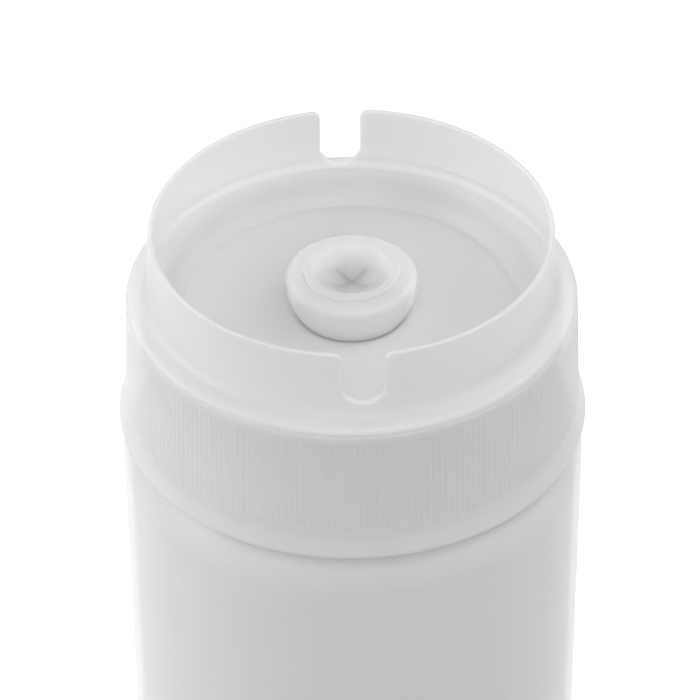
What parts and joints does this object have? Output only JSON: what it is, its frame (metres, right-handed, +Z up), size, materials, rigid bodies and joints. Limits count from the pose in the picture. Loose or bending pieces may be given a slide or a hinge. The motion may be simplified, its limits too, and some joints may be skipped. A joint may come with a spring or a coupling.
{
  "type": "two-ended sauce bottle",
  "caption": "Squeezable sauce bottle with a slit-valve dispensing cap in a notched standing collar and a screw-on refill cap with a hinged flip lid.",
  "frame": {"origin": "centre of the foot ring's resting plane", "axes": "+Z up along the bottle to the dispensing end; -Y towards the lid's thumb notch and one vent notch; the lid's hinge is at +Y"},
  "size_m": [0.0712, 0.0712, 0.2304],
  "materials": {
    "natural_bottle": "natural blown polyethylene, frosted and slightly see-through",
    "natural_cap": "natural moulded polypropylene, frosted, satin",
    "silicone": "clear frosted silicone",
    "seal_foam": "white closed-cell liner",
    "pin_steel": "stainless steel"
  },
  "bodies": {
    "bottle": {"bottle_body": "natural_bottle"},
    "top_gasket": {"dispensing_seal": "seal_foam"},
    "top_cap": {"dispensing_cap": "natural_cap", "silicone_valve": "silicone", "valve_retainer": "natural_cap"},
    "foot_gasket": {"refill_seal": "seal_foam"},
    "foot_cap": {"refill_cap": "natural_cap", "hinge_pin": "pin_steel"},
    "lid": {"flip_lid": "natural_cap", "lid_seal": "silicone"}
  },
  "joints": [
    {"name": "dispensing_cap_rise", "type": "slide", "parent": "bottle", "child": "top_gasket", "axis": [0, 0, 1], "range_m": [0, 0.00526]},
    {"name": "dispensing_cap_turn", "type": "hinge", "parent": "top_gasket", "child": "top_cap", "pos_m": [0, 0, 0.2168], "axis": [0, 0, 1], "range_deg": [0, 450]},
    {"name": "refill_cap_rise", "type": "slide", "parent": "bottle", "child": "foot_gasket", "axis": [0, 0, -1], "range_m": [0, 0.00526]},
    {"name": "refill_cap_turn", "type": "hinge", "parent": "foot_gasket", "child": "foot_cap", "pos_m": [0, 0, 0.007], "axis": [0, 0, -1], "range_deg": [0, 450]},
    {"name": "flip_lid_hinge", "type": "hinge", "parent": "foot_cap", "child": "lid", "pos_m": [0, 0.02705, 0.00235], "axis": [1, 0, 0], "range_deg": [0, 110]}
  ],
  "couplings": [
    {"joint": "dispensing_cap_rise", "follows": "dispensing_cap_turn", "m_per_rad": 0.00066845},
    {"joint": "refill_cap_rise", "follows": "refill_cap_turn", "m_per_rad": 0.00066845}
  ]
}
